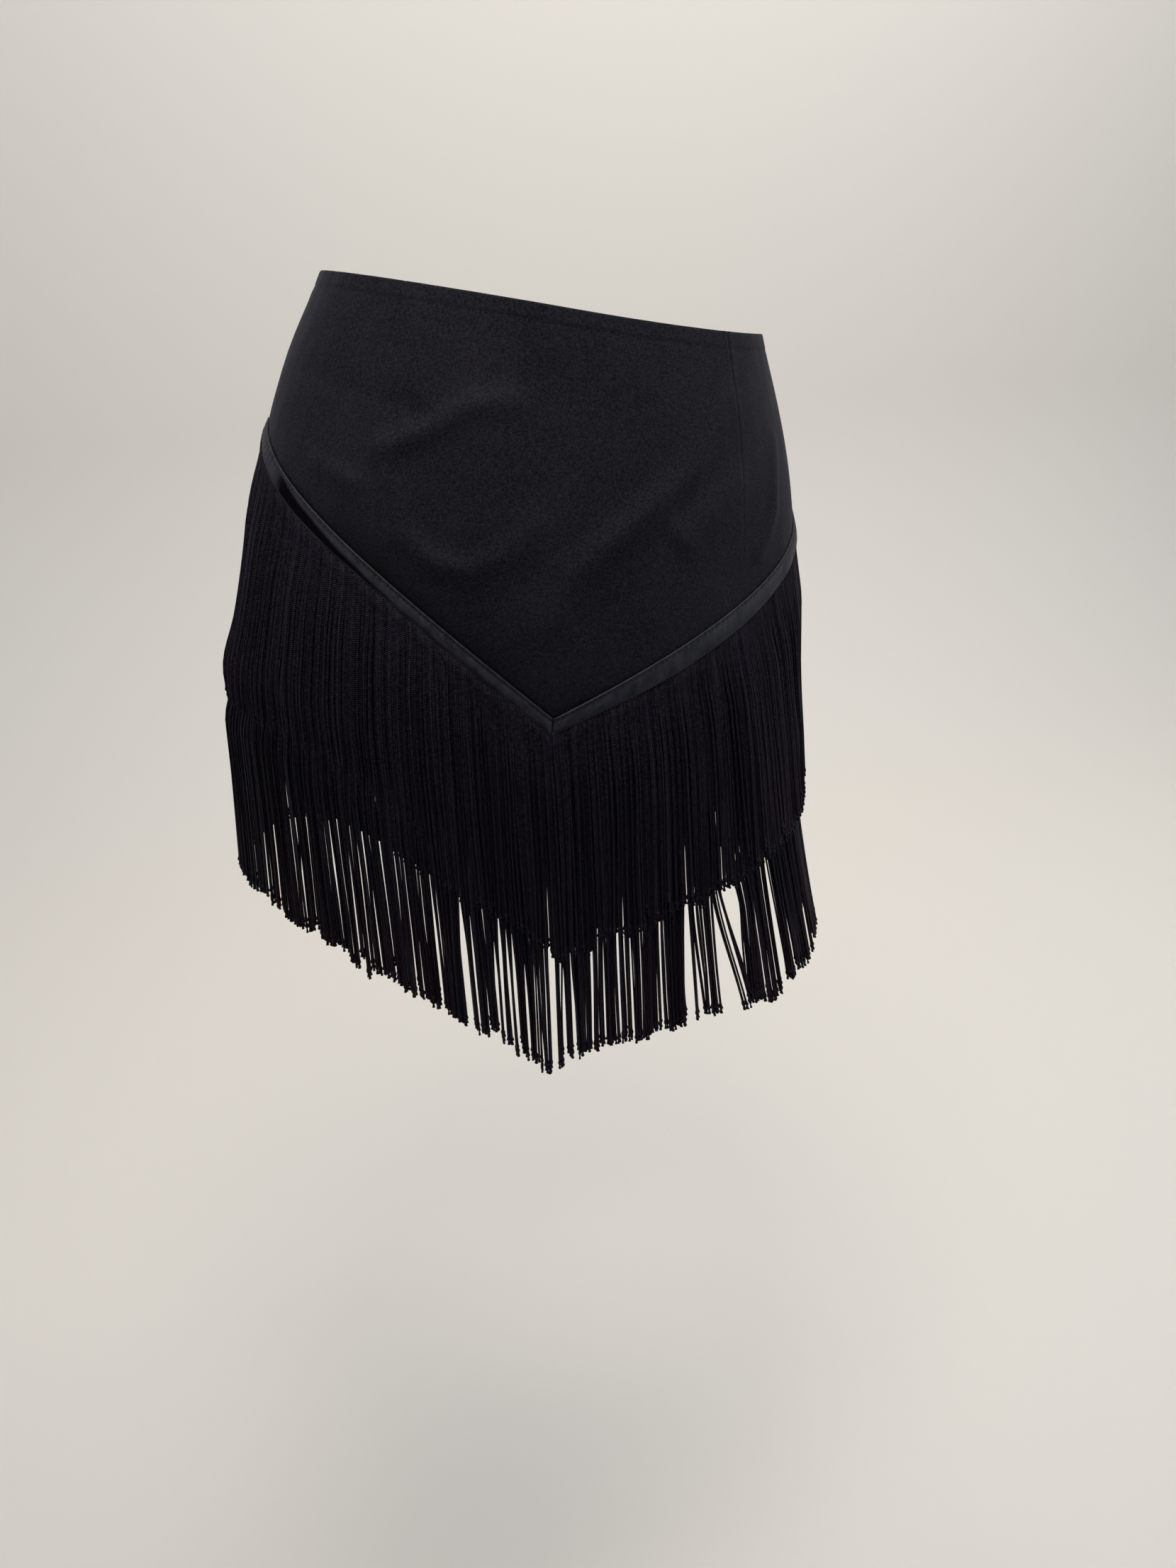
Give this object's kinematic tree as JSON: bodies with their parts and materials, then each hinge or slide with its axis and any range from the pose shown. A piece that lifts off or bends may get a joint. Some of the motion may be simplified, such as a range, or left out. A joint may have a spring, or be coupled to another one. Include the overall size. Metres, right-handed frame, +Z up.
{
  "type": "fringe skirt",
  "caption": "Fitted hollow mini skirt with front and back darts, a V of ribbon round the hips and two tiers of long hanging fringe.",
  "frame": {"origin": "the middle of the waist edge, level with its mean height, where the wearer holds the skirt up", "axes": "+Z up, -Y to the skirt's front, +X to the wearer's left; the fringe hangs along -Z"},
  "size_m": [0.3666, 0.2761, 0.4702],
  "materials": {
    "crepe": "matte crepe with a fine dull grain",
    "ribbon": "narrow satin ribbon with a soft sheen",
    "fringe": "chained rayon cord with a low silky sheen",
    "zip": "black enamel, semi gloss"
  },
  "bodies": {
    "skirt": {"front_panel": "crepe", "back_left_panel": "crepe", "back_right_panel": "crepe", "ribbon_front_left": "ribbon", "ribbon_front_right": "ribbon", "ribbon_back_left": "ribbon", "ribbon_back_right": "ribbon", "fringe_upper_front_left": "fringe", "fringe_upper_front_right": "fringe", "fringe_upper_back_left": "fringe", "fringe_upper_back_right": "fringe", "fringe_lower_front_left": "fringe", "fringe_lower_front_right": "fringe", "fringe_lower_back_left": "fringe", "fringe_lower_back_right": "fringe", "zip_slider": "zip"},
    "pull": {"zip_pull": "zip"}
  },
  "joints": [
    {"name": "pull_hinge", "type": "hinge", "parent": "skirt", "child": "pull", "pos_m": [-0.00125, 0.10838, -0.02321], "axis": [0.9778, -0.0252, -0.2081], "range_deg": [0, 150]}
  ]
}
